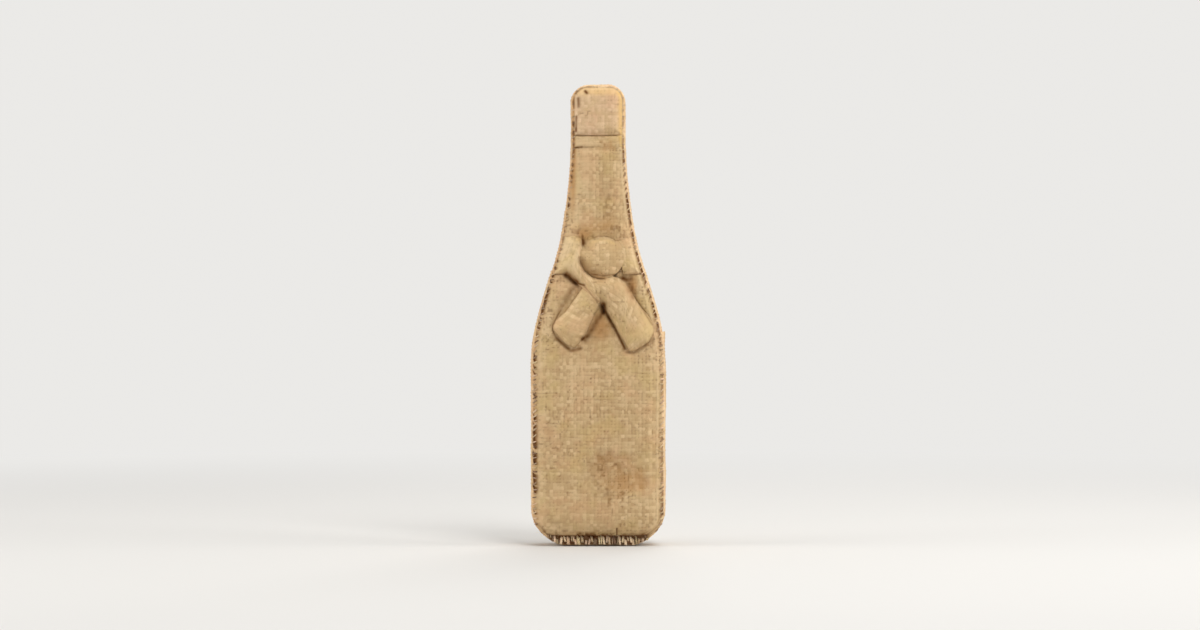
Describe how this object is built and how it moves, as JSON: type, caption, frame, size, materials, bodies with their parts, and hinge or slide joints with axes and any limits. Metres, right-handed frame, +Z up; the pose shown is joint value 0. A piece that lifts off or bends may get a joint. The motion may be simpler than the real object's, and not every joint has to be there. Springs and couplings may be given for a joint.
{
  "type": "champagne bottle",
  "caption": "Padded champagne bottle in tan hessian, flat backed, with a padded capsule, crossed ribbons and a round seal.",
  "frame": {"origin": "middle of the flat base that the bottle stands on", "axes": "+Z up along the bottle, +X to the right seen from the front, -Y out of the padded front"},
  "size_m": [0.088, 0.041, 0.3],
  "materials": {
    "body_hessian": "coarse woven, matt",
    "edge_hessian": "coarse woven, matt",
    "capsule_hessian": "coarse woven, matt",
    "ribbon_hessian": "coarse woven, matt",
    "stitching_yarn": "twisted yarn, matt",
    "foam": "matt",
    "wadding": "matt",
    "board": "matt"
  },
  "bodies": {
    "root": {"front_panel": "body_hessian", "back_panel": "body_hessian", "side_gusset": "edge_hessian", "short_gusset": "edge_hessian", "base_gusset": "edge_hessian", "foam_core": "foam", "backing_board": "board", "capsule_cover": "capsule_hessian", "capsule_wadding": "wadding", "neck_band": "capsule_hessian", "ribbon_cover": "ribbon_hessian", "ribbon_wadding": "wadding", "left_tail_cover": "ribbon_hessian", "left_tail_wadding": "wadding", "right_collar_cover": "ribbon_hessian", "right_collar_wadding": "wadding", "seal_cover": "ribbon_hessian", "seal_wadding": "wadding", "left_stitches": "stitching_yarn", "right_stitches": "stitching_yarn", "top_stitches": "stitching_yarn", "base_stitches": "stitching_yarn"}
  },
  "joints": []
}
